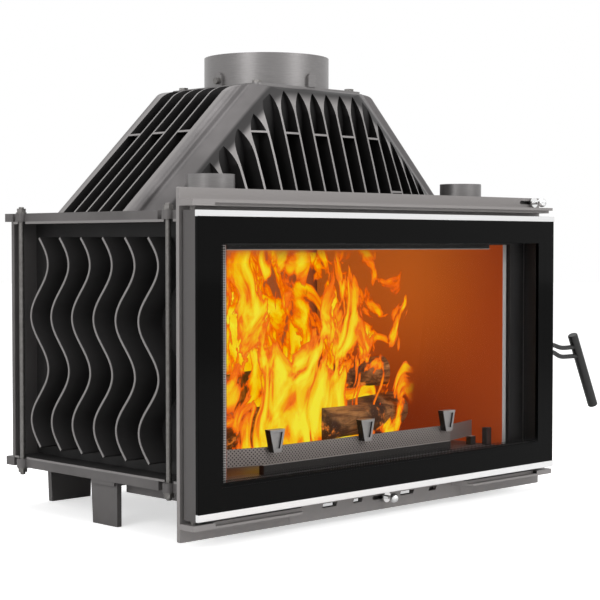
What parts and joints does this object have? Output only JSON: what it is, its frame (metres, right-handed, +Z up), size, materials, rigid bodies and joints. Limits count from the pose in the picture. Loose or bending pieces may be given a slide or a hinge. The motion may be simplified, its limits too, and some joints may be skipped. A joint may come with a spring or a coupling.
{
  "type": "fireplace insert",
  "caption": "Cast fireplace insert with finned convector hood, wavy-ribbed sides, hinged glass door, latch lever, air and damper slides and lift-out log guard.",
  "frame": {"origin": "floor plane under the flue axis, midway between the sides", "axes": "+Z up along the flue, +X to the right seen from the front, -Y towards the door"},
  "size_m": [0.9109, 0.4993, 0.7005],
  "materials": {
    "cast": "fine sand-cast, graphite grey",
    "zinc": "dull zinc",
    "chrome": "bright",
    "collar": "machined grey",
    "steel": "heat-proof paint, matt",
    "black": "satin black",
    "pane": "clear with a black printed border",
    "rope": "braided glass rope",
    "lining": "pressed fire board"
  },
  "bodies": {
    "stove": {"bottom_plate": "cast", "top_plate": "cast", "side_panel_left": "cast", "side_panel_right": "cast", "back_panel": "cast", "tie_rods": "zinc", "tie_rod_nuts": "zinc", "feet_rear": "cast", "feet_side": "cast", "feet_front": "cast", "air_tray": "steel", "front_plate": "cast", "regulator_plate": "cast", "top_ledge": "cast", "bottom_ledge_left": "cast", "bottom_ledge_right": "cast", "hinge_pins": "zinc", "latch_keeper": "steel", "convector_hood": "cast", "cover_plate": "cast", "cover_bolts": "zinc", "flue_collar": "collar", "collar_bolts": "zinc", "duct_collar_left": "collar", "duct_collar_right": "collar", "air_deflector": "steel", "back_lining": "lining", "baffle": "cast", "grate": "cast", "guard_posts": "steel", "air_rails": "steel", "damper_rails": "steel"},
    "door": {"door_frame": "cast", "door_rope": "rope", "door_glass": "pane", "trim_top": "chrome", "trim_bottom": "chrome", "latch_pin": "zinc", "latch_bridge": "steel"},
    "latch": {"latch_lever": "black", "grip_bar": "black"},
    "air": {"air_slider": "steel", "air_knob": "chrome"},
    "damper": {"damper_slider": "steel", "damper_knob": "chrome"},
    "flap": {"damper_flap": "cast", "flap_spindle": "cast"},
    "guard": {"log_guard": "steel", "guard_rail": "steel", "guard_brackets": "steel"}
  },
  "joints": [
    {"name": "door_hinge", "type": "hinge", "parent": "stove", "child": "door", "pos_m": [-0.377, -0.2595, 0.245], "axis": [0, 0, -1], "range_deg": [0, 100]},
    {"name": "latch_turn", "type": "hinge", "parent": "door", "child": "latch", "pos_m": [0.372, -0.262, 0.236], "axis": [0, 1, 0], "range_deg": [0, 26]},
    {"name": "air_slide", "type": "slide", "parent": "stove", "child": "air", "axis": [-1, 0, 0], "range_m": [0, 0.022]},
    {"name": "flap_turn", "type": "hinge", "parent": "stove", "child": "flap", "pos_m": [0, 0, 0.56], "axis": [0, 1, 0], "range_deg": [0, 90]},
    {"name": "damper_slide", "type": "slide", "parent": "stove", "child": "damper", "axis": [-1, 0, 0], "range_m": [0, 0.0276]},
    {"name": "guard_lift", "type": "slide", "parent": "stove", "child": "guard", "axis": [0, 0, 1], "range_m": [0, 0.06]}
  ],
  "couplings": [
    {"joint": "damper_slide", "follows": "flap_turn", "m_per_rad": 0.017507}
  ]
}
